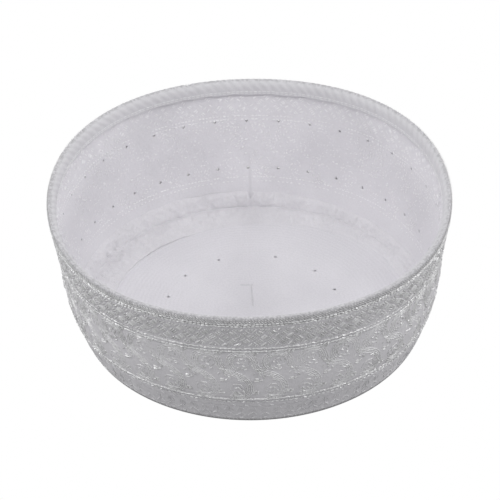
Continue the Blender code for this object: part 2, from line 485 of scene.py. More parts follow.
def band_shaded_hollows(start, across, along):
    """Painted shade, also pressed in as hollows: along the pulled-in lines, under the lattice, in a sawtooth
    over the foot and down the back seam.
    """
    # Painted shadow in a sawtooth line over the foot, and painted shade under the lattice and beside the rows
    teeth = (across.wave(math.tau * BAND_RADIUS / TEETH) - 0.5) * TOOTH_HEIGHT
    shaded_hollow = (along - teeth).near(TEETH_DEPTH, 0.0001, 0.0008) * 0.18
    shaded_hollow = shaded_hollow.most(along.ramp(0.0056, 0.0066) * (1 - along.ramp(0.0168, 0.0178)) * 0.22)
    for line, width, strength in SEWN_SHADED_HOLLOWS:
        shaded_hollow = shaded_hollow.most(along.near(line, 0.0, width) * strength)
    outer = start.node("ShaderNodeAttribute", {"attribute_name": "outer"}, output="Fac")
    # Painted shade down the groove of the back seam, on both faces
    seam_shade = across.near(BACK * BAND_RADIUS, 0.0002, 0.0012) * along.ramp(0.034, 0.050) * 0.15
    return seam_shade.most(shaded_hollow * outer), 6.0


band_cotton = cotton("band_cotton", (0.84, 0.826, 0.855, 1.0), (0.78, 0.767, 0.795, 1.0),
                     weave_pitch=0.0007, relief=0.00006, shaded_hollows=band_shaded_hollows)
eyelet_directions = np.repeat(FIRST_EYELET + np.arange(EYELETS) * math.tau / EYELETS, 2)
eyelet_depths = np.tile(EYELET_DEPTHS, EYELETS)
place, along, down, out = band_frame(eyelet_directions, eyelet_depths, -BAND_THICKNESS / 2)
band_pegs = marks("band_pegs", place, {"out": out})
pierce(side_band, band_pegs, EYELET_RADIUS, band_cotton)
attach(side_band, "root")
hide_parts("side_band")

# Rim binding
# A straight strip of the same cotton folded over the top edge, pinched flat along its fold and
# stitched through, so its inner face ripples in slanting ribs above the rows of stitches.
# Depth below the rim and how far the visible face stands in, round the fold
OUTER_FOLD = (
    (0.0042, 0.0), (0.0027, 0.0), (0.0012, -0.0001), (0.0003, -0.0005), (0.0, -0.0010), (0.0003, -0.0015),
    (0.0010, -0.0025), (0.0022, -0.0032), (0.0038, -0.0034), (0.0058, -0.0032), (0.0074, -0.0027),
)
INNER_FOLD = (
    (0.0074, -0.0019), (0.0058, -0.0025), (0.0045, -0.0028), (0.0030, -0.0026), (0.0019, -0.0018),
    (0.0014, -0.0012), (0.0018, -0.0009), (0.0042, -0.0010),
)
HEM_RIBS = 127
RIB_SLANT = 1180.0
RIB_HEIGHT = 0.00020
BINDING_COLUMNS = 720
CREST_HALF_WIDTH = 0.0012
CREST_SWAY = 0.00010
HEM_SWAY = 0.00025
# Direction in degrees and depth of the nicks in the fold
NICKS = ((161.0, 0.0009), (108.0, 0.0007))
NICK_HALF_WIDTH = 0.0011


def eased(points, count):
    """Even places on a smooth curve through the points."""
    points = np.asarray(points, dtype=float)
    padded = np.vstack([2 * points[0] - points[1], points, 2 * points[-1] - points[-2]])
    fine = []
    for a, b, c, d in zip(padded, padded[1:], padded[2:], padded[3:]):
        t = np.linspace(0.0, 1.0, 16, endpoint=False)[:, None]
        bend = (2 * a - 5 * b + 4 * c - d) * t ** 2 + (3 * b - a - 3 * c + d) * t ** 3
        fine.append(0.5 * (2 * b + (c - a) * t + bend))
    fine = np.vstack(fine + [points[-1:]])
    run = np.append(0.0, np.cumsum(np.linalg.norm(np.diff(fine, axis=0), axis=1)))
    even = np.linspace(0.0, run[-1], count)
    return np.stack([np.interp(even, run, fine[:, axis]) for axis in range(fine.shape[1])], axis=-1)


fold = np.vstack([eased(OUTER_FOLD, 34), eased(INNER_FOLD, 14)])
around, depth = spread(BINDING_COLUMNS, fold[:, 0])
lift = np.broadcast_to(fold[:, 1], depth.shape).copy()
hem_side = rise(-lift, 0.0010, 0.0020) * rise(depth, 0.0002, 0.0012)
ribs = np.sin(HEM_RIBS * around + RIB_SLANT * depth) * rise(depth, 0.0056, 0.0046)
lift -= RIB_HEIGHT * hem_side * ribs
crest = swell(depth, 0.0, CREST_HALF_WIDTH)
depth = depth + CREST_SWAY * crest * np.sin(210 * around + 2 * np.sin(9 * around))
depth = depth + HEM_SWAY * rise(depth, 0.0062, 0.0074) * np.sin(38 * around + np.sin(7 * around))
for middle, size in NICKS:
    depth = depth + size * crest * swell((around - math.radians(middle)) * RIM_RADIUS, 0.0, NICK_HALF_WIDTH)
rim_binding = ring_piece("rim_binding_cloth", on_band(around, depth, lift),
                         np.stack([around * RIM_RADIUS, depth], axis=-1))
carry(rim_binding, {"outer": rise(lift, -0.0026, -0.0016).ravel()})


def rib_shaded_hollows(start, across, along):
    """Painted shade: in the shallow hollows between the slanting ribs inside, and over the outer fold in
    uneven spots.
    """
    slant = across * (HEM_RIBS / RIM_RADIUS) + along * RIB_SLANT
    shade_between_ribs = (0.5 - slant.maths("SINE") * 0.5).ramp(0.3, 0.9) * (1 - along.ramp(0.0048, 0.0056)) * 0.09
    outer_shade_spots = start.node("ShaderNodeTexCoord", output="Object").noise(900.0, 2.0)
    outer = start.node("ShaderNodeAttribute", {"attribute_name": "outer"}, output="Fac")
    # Painted shade over the whole outer fold, deeper in uneven spots
    return shade_between_ribs + outer * (0.12 + outer_shade_spots.ramp(0.40, 0.60) * 0.45), 4.0


# Painted shade: the binding is a darker copy of the band's cotton, for the fold that gets more light from
# above
shaded_binding_cotton = cotton("shaded_binding_cotton", (0.75, 0.742, 0.763, 1.0), (0.70, 0.692, 0.712, 1.0),
                        weave_pitch=0.0006, relief=0.00006, shaded_hollows=rib_shaded_hollows)
rim_binding.data.materials.append(shaded_binding_cotton)
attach(rim_binding, "root")
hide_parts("rim_binding")

# Crown panel
# The flat round top: two layers of cotton quilted together in close rings, with a ring of
# eyelets, and a short crease pressed in near the middle.
CROWN_THICKNESS = 0.0016
CROWN_RADIUS = 0.0755
CROWN_LIFT = 0.0003
CROWN_COLUMNS = 240
CROWN_RINGS = 64
CROWN_EYELET_RING = 0.040
CROWN_EYELET_RADIUS = 0.00072
# Directions of the crown's eyelets, in degrees
CROWN_EYELETS = (19, 43, 74, 113, 141, 166, 195, 225, 255, 285, 315, 345)
# Height to which the upper face turns up at the seam, and the unevenness there and over the panel
TURN_UP = 0.0008
SEAM_BUMP = 0.00030
SEAM_BUMPS = ((61, 900.0, 0.2), (87, -1300.0, 1.7), (43, 1700.0, 3.1), (29, -700.0, 5.0))
CROWN_SWAY = 0.00024
CROWN_WAVES = ((3, 60.0, 0.0), (5, -110.0, 1.0), (4, 190.0, 2.2), (9, 40.0, 0.7))
QUILT_PITCH = 0.0019
# The crease runs back from the middle, with a short bar to the left at its end and a soft fold behind
CREASE_AT = 0.0002
CREASE_END = 0.0172
CREASE_LEAN = 0.045
BAR_MIDDLE = -0.0029
FOLD_AT = -0.0016


def ray(direction):
    """Level unit vector in this direction."""
    return np.stack([np.cos(direction), np.sin(direction), 0.0 * direction], axis=-1)


radii = np.linspace(0.0006, CROWN_RADIUS - 0.0004, CROWN_RINGS)
edge = np.array([[CROWN_RADIUS - 0.0001, 0.75], [CROWN_RADIUS, 0.5], [CROWN_RADIUS - 0.0001, 0.25]])
upper_face = np.stack([radii, np.ones(CROWN_RINGS)], axis=-1)
lower_face = np.stack([radii[::-1], np.zeros(CROWN_RINGS)], axis=-1)
section = np.vstack([upper_face, edge, lower_face])
around, radius = spread(CROWN_COLUMNS, section[:, 0])
height = CROWN_LIFT + section[:, 1] * (CROWN_THICKNESS - CROWN_LIFT) + 0.0 * around
upper = np.broadcast_to(section[:, 1] > 0.9, height.shape)
height += upper * TURN_UP * rise(radius, 0.0695, 0.0740) ** 1.5
height += upper * SEAM_BUMP * rise(radius, 0.0640, 0.0700) * grain(around, radius, SEAM_BUMPS)
loose = rise(radius, CROWN_RADIUS, CROWN_RADIUS - 0.012) * rise(radius, 0.0, 0.02)
height += upper * CROWN_SWAY * loose * grain(around, radius, CROWN_WAVES)
points = ray(around) * radius[..., None] + (CROWN_SHIFT, 0.0, 0.0)
points[..., 2] += height
crown_panel = ring_piece("crown_panel_cloth", points, np.stack([around * CROWN_EYELET_RING, radius], axis=-1),
                         closed=False)


def crown_cotton():
    """Cotton quilted in rings round the crown's middle, with a pressed crease on its inner face; painted
    shade darkens the crease and follows the quilting rings, and the outer face is darker, with painted shade
    in its drawn-in rings.
    """
    material, start = bare_material("crown_cotton")
    place = start.node("ShaderNodeTexCoord", output="Object")
    run = start.node("ShaderNodeSeparateXYZ", sockets={0: place})
    x = run - CROWN_SHIFT
    y = run.other("Y")
    radius = (x * x + y * y).maths("SQRT")
    warp = place.noise(30.0, 2.0)
    fleck = place.noise(1300.0, 2.0)
    weave = plain_weave(x, y, 0.0007)
    rings = (radius + warp * 0.0012).wave(QUILT_PITCH)
    outer = radius.ramp(0.020, 0.062)
    inner_face = run.other("Z").ramp(0.0010, 0.0012)
    off_crease = abs(x + y * CREASE_LEAN - CREASE_AT).ramp(0.0, 0.00055)
    off_crease = off_crease.most(1 - y.ramp(0.0008, 0.0022) * (1 - y.ramp(CREASE_END - 0.0009, CREASE_END)))
    off_bar = abs(y - CREASE_END).ramp(0.0, 0.0009).most(abs(x - BAR_MIDDLE).ramp(0.0024, 0.0032))
    unpressed = (off_crease * off_bar).most(1 - inner_face)
    off_fold = abs(x - FOLD_AT).ramp(0.0, 0.0009).most(1 - y.ramp(0.020, 0.026))
    # Lighter at random and towards the edge, with painted light and shade following the quilting rings
    light = warp.ramp(0.3, 0.7) * 0.3 + fleck.ramp(0.35, 0.65) * 0.3 + (0.25 + rings * 0.15) * outer
    tone = light.tint((0.735, 0.723, 0.754, 1.0), (0.865, 0.852, 0.882, 1.0))
    # Painted shade along the pressed crease and its bar
    tone = (unpressed * 0.28 + 0.72).tint((0.45, 0.45, 0.46, 1.0), tone)
    # The outer face, which lies on the table, is darker, with painted shade in rings where the quilting draws
    # it in
    drawn_in_shade = (radius + warp * 0.0006).wave(2 * QUILT_PITCH).ramp(0.2, 0.9)
    tone = inner_face.tint(tone.scaled(0.80 + drawn_in_shade * 0.12), tone)
    height = weave * 0.3 + fleck + rings * (0.2 + outer * 0.45) + unpressed * 1.6 + off_fold * 0.5
    cotton_surface(start, tone, 0.88 - weave * 0.06, height, 0.00010)
    return material


eyelet_turns = np.radians(CROWN_EYELETS)
place = ray(eyelet_turns) * CROWN_EYELET_RING + (CROWN_SHIFT, 0.0, CROWN_THICKNESS / 2)
crown_pegs = marks("crown_pegs", place, {"out": np.tile((0.0, 0.0, 1.0), (len(place), 1))})
pierce(crown_panel, crown_pegs, CROWN_EYELET_RADIUS, crown_cotton())
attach(crown_panel, "root")
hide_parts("crown_panel")

# Seam allowances
# The raw edges of the band and of the crown, turned inside at the seam between them: the band's
# lies up against the wall, and the crown's has fallen flat on to the crown, widest at the left.
ALLOWANCE_THICKNESS = 0.0010
SEAM_GAP = 0.0003
ALLOWANCE_COLUMNS = ("direction", "band_height", "crown_width")
ALLOWANCE_ROWS = (
    (0, 0.0090, 0.0050),
    (25, 0.0086, 0.0042),
    (46, 0.0088, 0.0050),
    (62, 0.0093, 0.0075),
    (80, 0.0102, 0.0104),
    (100, 0.0108, 0.0116),
    (130, 0.0112, 0.0118),
    (200, 0.0110, 0.0115),
    (235, 0.0105, 0.0103),
    (285, 0.0098, 0.0080),
    (330, 0.0092, 0.0058),
)
ALLOWANCE_DIRECTIONS = 900
ALLOWANCE_STATIONS = 14
# Directions in degrees of three deep tucks, where the seam was caught in the sewing
TUCKS = (145.5, 147.5, 152.0)
TUCK_HALF_WIDTH = 0.6
# Middle and half width in degrees of the stretches where the crown's edge has fallen at the left and
# is eased at the right, and where the band's edge stands off the wall
FALLEN_LEFT = (157.0, 26.0)
EASED_RIGHT = (25.0, 32.0)
STANDING_OFF = (103.0, 14.0)
PUCKER_HEIGHT = 0.0019
EDGE_WAVES = ((19, 0.0, 0.3), (31, 0.0, 1.9), (47, 0.0, 4.4), (12, 0.0, 2.7))
FOOT_RADIUS = 0.077
SEAM_RADIUS = 0.075
SEAM_NOTCH = 0.0030
NOTCH_HALF_WIDTH = 0.0007071


def soften(share):
    """Start and end an even rise gently."""
    return share * share * (3.0 - 2.0 * share)


def allowance_at(directions, column):
    turns = np.degrees(directions) % 360.0
    rows = np.array([*ALLOWANCE_ROWS, (360, *ALLOWANCE_ROWS[0][1:])], dtype=float)
    index = np.searchsorted(rows[:, 0], turns, side="right") - 1
    share = soften((turns - rows[index, 0]) / (rows[index + 1, 0] - rows[index, 0]))
    values = rows[:, ALLOWANCE_COLUMNS.index(column)]
    return values[index] + (values[index + 1] - values[index]) * share


def crumpled(around, run, seed, folds, spacing):
    """Uneven creases between -1 and 1, folds of them round the cap and one every spacing down the cloth."""
    depth = 64
    heights = np.random.default_rng(seed).uniform(-1.0, 1.0, (folds, depth))
    column, row = around / math.tau * folds, run / spacing + 8.0
    left, low = np.floor(column).astype(int), np.floor(row).astype(int)
    x, y = soften(column - left), soften(row - low)
    right, left, high, low = (left + 1) % folds, left % folds, (low + 1) % depth, low % depth
    near = heights[left, low] * (1.0 - x) + heights[right, low] * x
    far = heights[left, high] * (1.0 - x) + heights[right, high] * x
    return near * (1.0 - y) + far * y


def puckered(around, run, seed, wide, fine):
    """Puckers between 0 and 1, broad ones with small ones on them."""
    broad = crumpled(around, run, seed, 130, wide)
    return 0.5 + 0.30 * broad + 0.20 * crumpled(around, run, seed + 1, 300, fine)


out_and_back = np.append(np.linspace(0.0, 1.0, ALLOWANCE_STATIONS), np.linspace(1.0, 0.0, ALLOWANCE_STATIONS))
behind = np.repeat((0.0, 1.0), ALLOWANCE_STATIONS)
around, share = spread(ALLOWANCE_DIRECTIONS, out_and_back)
turns = np.degrees(around)
nipped = sum(swell(turns, middle, TUCK_HALF_WIDTH) for middle in TUCKS)

foot_depth = BAND_DEPTH - CROWN_THICKNESS - SEAM_GAP
top_depth = BAND_DEPTH - allowance_at(around, "band_height") - 0.0004 * grain(around, 0.0, EDGE_WAVES)
top_depth += SEAM_NOTCH * swell((around - BACK) * FOOT_RADIUS, 0.0, NOTCH_HALF_WIDTH)
depth = foot_depth + (top_depth - foot_depth) * share
pucker = puckered(around, depth, 3, 0.0040, 0.0016) - 0.7 * nipped * rise(share, 0.6, 0.35)
pucker = PUCKER_HEIGHT * pucker * rise(share, 0.0, 0.25) * rise(share, 1.05, 0.80)
standing_off = 0.0005 * swell(turns, *STANDING_OFF) * share ** 3
thickness = ALLOWANCE_THICKNESS * (1.0 - 0.75 * share ** 2)
lift = -(BAND_THICKNESS + 0.0001) - standing_off + 0.0004 * share ** 3 - behind * (thickness + pucker)
band_allowance = ring_piece("band_allowance_cloth", on_band(around, depth, lift),
                            np.stack([around * FOOT_RADIUS, depth], axis=-1))

fallen_left = swell(turns, *FALLEN_LEFT, 4)
eased_right = swell(turns, *EASED_RIGHT, 4)
inset = BAND_THICKNESS + ALLOWANCE_THICKNESS + 2 * SEAM_GAP - 0.0006 * fallen_left
seat = CROWN_THICKNESS + ALLOWANCE_THICKNESS + 2 * SEAM_GAP
width = allowance_at(around, "crown_width") + 0.0003 * grain(around, 0.0, EDGE_WAVES)
pucker = puckered(around, share * width, 5, 0.0030, 0.0014) - 0.8 * nipped * rise(share, 0.4, 0.2)
curl = (PUCKER_HEIGHT - 0.0004 * fallen_left) * pucker * rise(share, 0.0, 0.2) * rise(share, 1.0, 2 / 3)
thickness = ALLOWANCE_THICKNESS * (1.0 - (0.85 - 0.35 * fallen_left) * share ** 2)
sunk = behind * (thickness + 0.0004 * (1.0 - share))
filled = rise(share, 0.16, 0.0) ** 2 * (0.35 + 0.65 * fallen_left + 0.5 * eased_right) * (1.0 - behind)
points = on_band(around, BAND_DEPTH - seat, -inset)
points -= ray(around) * (width * share - 0.0010 * filled)[..., None]
edge_height = CROWN_THICKNESS + 0.00012 + 0.0005 * fallen_left
points[..., 2] += (edge_height - points[..., 2]) * soften(share) + curl - sunk + 0.0012 * filled
crown_allowance = ring_piece("crown_allowance_cloth", points,
                             np.stack([around * SEAM_RADIUS, share * width], axis=-1))

# Painted light: the raw edges are a lighter copy of the cloth, for the allowances down in the seam's corner
lit_raw_cotton = cotton("lit_raw_cotton", (0.88, 0.866, 0.892, 1.0), (0.80, 0.787, 0.814, 1.0),
                    weave_pitch=0.0009, relief=0.00015)
for piece, node in ((band_allowance, "band_allowance"), (crown_allowance, "crown_allowance")):
    piece.data.set_sharp_from_angle(angle=math.radians(35.0))
    piece.data.materials.append(lit_raw_cotton)
    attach(piece, "root")
    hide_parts(node)

# Scroll embroidery
# Running scrolls in bright rayon thread between two stitched lines: each has a curled bud near the
# upper line, laid cords that sweep over it and on to a second bud below, leaves and small knots.
MOTIF_RADIUS = 0.0862
BUD_AT = (-0.0059, 0.0272)
UPPER_BUD = (-0.0001, 0.0)
LOWER_BUD = (0.0131, 0.0166)
TENTH = 0.0001
# Middle line of the laid cords, across and down from the upper bud, in tenths of a millimetre
SWEEP = (
    (-34, 40), (-50, 12), (-47, -24), (-22, -50), (14, -54), (44, -36), (56, -2), (64, 30), (82, 52),
    (110, 66), (142, 82), (172, 112), (186, 152), (180, 192), (156, 219), (125, 222), (104, 202),
)
CORD_LANES = (-1.5, -0.5, 0.5, 1.5)
CORD_SPACING = 0.00085
CORD_RADIUS = 0.00017
CORD_SIDES = 5
# Satin petals and dashes: across and down from the upper bud, length and width in tenths of a
# millimetre, and the turn of each
PETALS = (
    (1, -22, 17, 9.0, 0.0), (-13, 2, 17, 9.0, 0.6), (9, 21, 19, 8.5, 0.4), (-9, -13, 14, 6.0, -0.7),
    (7, 6, 15, 6.0, 1.1), (18, -8, 18, 6.0, 1.4), (-7, 34, 24, 6.0, 0.7), (-19, 43, 24, 6.0, 0.6),
    (17, 43, 16, 7.0, -0.5), (7, -51, 23, 5.5, 0.0), (-22, -44, 20, 5.0, -0.5), (64, 42, 22, 8.0, 0.3),
    (86, 50, 18, 8.0, 0.9), (75, 63, 20, 7.0, 1.4), (80, 80, 18, 7.5, 0.9), (96, 89, 18, 8.5, 1.2),
    (64, 102, 20, 8.0, 0.0), (81, 107, 20, 8.0, -0.4), (64, 115, 24, 9.0, 0.1), (-8, 106, 24, 5.0, 0.0),
    (18, 107, 24, 5.0, 0.0), (4, 114, 24, 5.0, 0.1), (-14, 133, 26, 5.5, 0.0), (-9, 161, 23, 8.5, 0.8),
    (-26, 158, 17, 6.0, -0.6), (4, 178, 18, 7.0, 1.2), (-10, 190, 25, 7.0, 0.9), (-28, 187, 22, 7.0, 0.9),
    (-26, 210, 24, 6.5, 0.4), (4, 209, 20, 6.0, -0.3), (30, 128, 20, 5.0, 0.7), (52, 70, 20, 5.5, -0.9),
    (48, 22, 18, 5.0, 1.2),
)
PETAL_FULLNESS = 1.25
BUD_STITCH = {"pitch": 0.0016, "length": 0.0017, "width": 0.00042}
ARM_STITCH = {"pitch": 0.0021, "length": 0.0015, "width": 0.00052}


def beside(path, offset):
    heading = np.gradient(path, axis=0)
    heading /= np.linalg.norm(heading, axis=1, keepdims=True)
    return path + offset * np.stack([-heading[:, 1], heading[:, 0]], axis=-1)


def sewn(path, pitch, length, width):
    """Stitches set along a path: across, down, turn, length and width of each."""
    run = np.linalg.norm(np.diff(path, axis=0), axis=1).sum()
    outer_shade_spots = eased(path, max(int(round(run / pitch)), 1) + 1)
    heading = np.diff(outer_shade_spots, axis=0)
    turn = np.arctan2(heading[:, 1], heading[:, 0])
    size = np.broadcast_to((length, width), (len(turn), 2))
    return np.column_stack([(outer_shade_spots[1:] + outer_shade_spots[:-1]) / 2, turn, size])


def curled(centre, first_radius, last_radius):
    """One turn of a slow spiral round a centre."""
    share = np.linspace(0.0, 1.0, 40)
    angle = math.tau * share
    radius = first_radius + (last_radius - first_radius) * share
    return np.stack([centre[0] + radius * np.cos(angle), centre[1] + radius * np.sin(angle)], axis=-1)


def round_band(motif, count, first, radius=MOTIF_RADIUS, shake=0.00012, seed=2):
    """The motif's stitches repeated at even directions round the cap, none quite alike."""
    centres = first + np.arange(count) * math.tau / count
    placed = np.tile(motif, (count, 1))
    hand = np.random.default_rng(seed)
    placed[:, :2] += hand.normal(0.0, shake, (len(placed), 2))
    placed[:, 2] += hand.normal(0.0, 0.10, len(placed))
    placed[:, 3:] *= hand.uniform(0.85, 1.15, (len(placed), 2))
    placed[:, 0] = placed[:, 0] / radius + np.repeat(centres, len(motif))
    return placed


cords, given = new_tree("laid_cords", {
    "Radius": "NodeSocketFloat", "Sides": "NodeSocketInt", "Thread": "NodeSocketMaterial"})
lines = given.node("GeometryNodeMeshToCurve", sockets={"Mesh": given.other("Geometry")})
bead = given.node("GeometryNodeCurvePrimitiveCircle", sockets={
    "Resolution": given.other("Sides"), "Radius": given.other("Radius")})
swept = given.node("GeometryNodeCurveToMesh", sockets={
    "Curve": lines, "Profile Curve": bead, "Fill Caps": True})
smooth = given.node("GeometryNodeSetShadeSmooth", sockets={"Geometry": swept})
end_tree(given, smooth, "Thread")

# A second tree lays one stitch on each point, aimed and sized by what the point carries
stitches, given = new_tree("stitches", {
    "Stitch": "NodeSocketObject", "Height": "NodeSocketFloat", "Seed": "NodeSocketInt",
    "Thread": "NodeSocketMaterial"})


def carried(name, kind="FLOAT_VECTOR"):
    return given.node("GeometryNodeInputNamedAttribute", {"data_type": kind}, {"Name": name})


one = given.node("GeometryNodeObjectInfo", sockets={"Object": given.other("Stitch")}, output="Geometry")
upright = given.node("FunctionNodeAlignRotationToVector", {"axis": "Z"}, {"Vector": carried("out")})
turned = given.node("FunctionNodeAlignRotationToVector", {"axis": "X", "pivot_axis": "Z"},
                    {"Rotation": upright, "Vector": carried("along")})
width = carried("width", "FLOAT")
size = given.node("ShaderNodeCombineXYZ", sockets={
    0: carried("length", "FLOAT"), 1: width, 2: width * given.other("Height")})
laid = given.node("GeometryNodeInstanceOnPoints", sockets={
    "Points": given.other("Geometry"), "Instance": one, "Rotation": turned, "Scale": size})
chance = given.node("FunctionNodeRandomValue", {"data_type": "FLOAT"},
                    {"Min": 0.0, "Max": 1.0, "Seed": given.other("Seed")}, output=1)
toned = given.node("GeometryNodeStoreNamedAttribute", {"data_type": "FLOAT", "domain": "INSTANCE"},
                   {"Geometry": laid, "Name": "tone", "Value": chance})
end_tree(given, toned, "Thread")

# One stitch: a thread that rises out of the cloth, lies flat and dives back in
stitch_points = [(-0.5, 0.0, -0.15)]
for station, size in ((-0.34, 0.85), (0.0, 1.0), (0.34, 0.85)):
    for side, top in ((-0.5, 0.0), (-0.13, 0.85), (0.13, 0.85), (0.5, 0.0)):
        stitch_points.append((station, side * size, top * size))
stitch_points.append((0.5, 0.0, -0.15))
stitch_faces = []
for low, high in ((0, 1), (1, 2), (2, 3), (3, 0)):
    stitch_faces += [(0, 1 + high, 1 + low), (13, 9 + low, 9 + high)]
    stitch_faces += [(ring + low, ring + high, ring + 4 + high, ring + 4 + low) for ring in (1, 5)]
stitch = shaped("stitch", stitch_points, [], stitch_faces)
turn_outwards(stitch.data)


def thread(name, colour, dull_and_shaded, roughness, gloss=2.8):
    """Rayon thread: bright, fine-stranded, each stitch lighter or darker at random, its dark end partly
    painted shade for stitches that turn their sheen from the light.
    """
    material, start = bare_material(name)
    tone = start.node("ShaderNodeAttribute", {"attribute_name": "tone"}, output="Fac")
    strand = start.node("ShaderNodeTexCoord", output="Object").noise(2600.0, 2.0)
    # Painted shade: the darker stitches stand in for sheen turned away from the light
    mixed = (tone * 0.6 + strand.ramp(0.3, 0.7) * 0.4).tint(dull_and_shaded, colour)
    bump = start.node("ShaderNodeBump", sockets={"Height": strand, "Strength": 0.7, "Distance": 0.00008})
    surface = start.node("ShaderNodeBsdfPrincipled", sockets={
        "Base Color": mixed, "Roughness": roughness + strand * 0.1, "Normal": bump,
        "IOR": gloss, "Sheen Weight": 0.05})
    start.node("ShaderNodeOutputMaterial", sockets={"Surface": surface})
    return material


# The bright thread's dark end is painted shade on stitches turned from the light
bright_thread = thread("bright_thread", (0.99, 0.99, 0.99, 1.0), (0.48, 0.48, 0.48, 1.0), roughness=0.31)
cord_thread = thread("cord_thread", (0.99, 0.99, 0.99, 1.0), (0.93, 0.93, 0.93, 1.0), roughness=0.45,
                     gloss=1.6)


def sewn_threads(name, place, heading, out, length, width, height, material, roll=0.13):
    """Lay one stitch at each place along its heading, each rolled a little about its own length."""
    roll = np.random.default_rng(9).normal(0.0, roll, len(place))[:, None]
    out = out * np.cos(roll) + np.cross(heading, out) * np.sin(roll)
    piece = marks(name, place, {"along": heading, "out": out, "length": length, "width": width})
    use_tree(piece, stitches, {"Stitch": stitch, "Height": height, "Seed": 7, "Thread": material})
    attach(piece, "root")
    return piece


def embroidery(name, places, material, height, lift=0.0, side=1.0, roll=0.13):
    """Sew stitches (direction, depth, turn, length, width) on the band's outer or inner face."""
    direction, depth, turn, length, width = np.asarray(places).T
    place, along, down, out = band_frame(direction, depth, lift)
    heading = along * np.cos(turn)[:, None] + down * np.sin(turn)[:, None]
    return sewn_threads(name, place, heading, out * side, length, width, height, material, roll)


sweep = eased(np.multiply(SWEEP, TENTH), 64) + BUD_AT
arms = [beside(sweep, lane * CORD_SPACING) for lane in CORD_LANES]
points, edges = [], []
for arm in arms:
    for centre in FIRST_EYELET + np.arange(EYELETS) * math.tau / EYELETS:
        first = len(points)
        points.extend(on_band(centre + arm[:, 0] / MOTIF_RADIUS, arm[:, 1], 0.00002).tolist())
        edges.extend((index, index + 1) for index in range(first, len(points) - 1))
scroll_cords = shaped("scroll_cords", points, edges, [])
use_tree(scroll_cords, cords, {"Radius": CORD_RADIUS, "Sides": CORD_SIDES, "Thread": cord_thread})
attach(scroll_cords, "root")

across, down, length, width, turn = np.transpose(PETALS)
petals = np.stack([across * TENTH + BUD_AT[0], down * TENTH + BUD_AT[1], turn, length * TENTH,
                   width * TENTH * PETAL_FULLNESS], axis=-1)
upper_ring = curled(np.add(BUD_AT, UPPER_BUD), 0.0036, 0.0037)
lower_ring = curled(np.add(BUD_AT, LOWER_BUD), 0.0031, 0.0033)
motif = np.vstack([petals, sewn(upper_ring, **BUD_STITCH), sewn(lower_ring, **BUD_STITCH)]
                  + [sewn(arm, **ARM_STITCH) for arm in arms])
scroll_stitches = round_band(motif, EYELETS, FIRST_EYELET)
scroll_buds = embroidery("scroll_buds", scroll_stitches, bright_thread, height=0.56)

# Lattice embroidery
# Under the rim a narrow band is filled with small diamonds of satin stitch, laid one way and
# then the other, with the bare cloth left between them as dark crossing lines in painted shade.
CELLS = 100
LATTICE_TOP = 0.0063
LATTICE_FOOT = 0.0170
LATTICE_RADIUS = 0.0897
LATTICE_ROWS = 5
# Each diamond's stitches, as shares of half a cell from its middle line
LATTICE_LANES = (-0.37, -0.12, 0.12, 0.37)
STITCH_SHARE = 0.40
LATTICE_STITCH_WIDTH = 0.00078

cell_width = LATTICE_RADIUS * math.tau / CELLS
cell_height = (LATTICE_FOOT - LATTICE_TOP) / 2
diagonal = math.hypot(cell_width, cell_height)
reach = STITCH_SHARE * diagonal / 2
lattice = []
for row in range(LATTICE_ROWS):
    lean = 1.0 if row % 2 else -1.0
    heading = np.array((cell_width, lean * cell_height)) / diagonal
    offset = cell_width / 2 if row % 2 else 0.0
    for lane in LATTICE_LANES:
        across = offset - lean * lane * cell_width / 2
        middle = np.array((across, LATTICE_TOP + (row + lane) * cell_height / 2))
        borders = sorted((border - middle[1]) / heading[1] for border in (LATTICE_TOP, LATTICE_FOOT))
        start, end = max(-reach, borders[0]), min(reach, borders[1])
        if start < end:
            spot = middle + heading * (start + end) / 2
            lattice.append((*spot, math.atan2(heading[1], heading[0]), end - start, LATTICE_STITCH_WIDTH))
lattice_stitches = round_band(np.array(lattice), CELLS, 0.0, LATTICE_RADIUS)
lattice_threads = embroidery("lattice_threads", lattice_stitches, bright_thread, height=0.66)

# Stitched lines
# Rows of close stitches run round the band: one under the binding, two above the scrolls and two
# below them, of which the lowest is worked as dashes over a sawtooth shadow.
# Depth, pitch, and length, width and slant of each row's stitches
BORDER_ROWS = (
    (0.0046, 0.0017, 0.0019, 0.00095, 0.22),
    (0.0186, 0.0017, 0.0020, 0.00090, 0.20),
    (0.0204, 0.0017, 0.0020, 0.00090, 0.20),
    (0.0509, 0.0017, 0.0020, 0.00090, 0.20),
    (0.0530, 0.0022, 0.0019, 0.00080, 0.28),
)


def even_row(place, pitch, length, width, slant, radius, crossing=True):
    """Stitches round a ring, slanting one way or, crossing, one way and then the other."""
    count = int(round(math.tau * radius / pitch))
    order = np.arange(count)
    slants = np.where((order % 2 == 0) & crossing, -slant, slant)
    same = np.broadcast_to((place, length, width), (count, 3))
    return np.column_stack([order * math.tau / count, same[:, 0], slants, same[:, 1:]])


def ring_of(depth, pitch, length, width, slant, radius=BAND_RADIUS, crossing=True):
    """A row of stitches round the band, none quite alike."""
    row = even_row(depth, pitch, length, width, slant, radius, crossing)
    count = len(row)
    hand = np.random.default_rng(count)
    row[:, 1] += hand.normal(0.0, 0.00006, count)
    row[:, 2] += hand.normal(0.0, 0.07, count)
    row[:, 3:] *= hand.uniform(0.85, 1.15, (count, 2))
    return row


border = np.vstack([ring_of(*row) for row in BORDER_ROWS])
border_lines = embroidery("border_lines", border, bright_thread, height=0.60)

# Foot embroidery
# Below the last line small triangles of thin thread fan down to the crown seam, with a row of
# dashes above and below them, and the seam itself is overcast.
FANS = TEETH
FIRST_FAN = 0.01
FAN_RADIUS = 0.0800
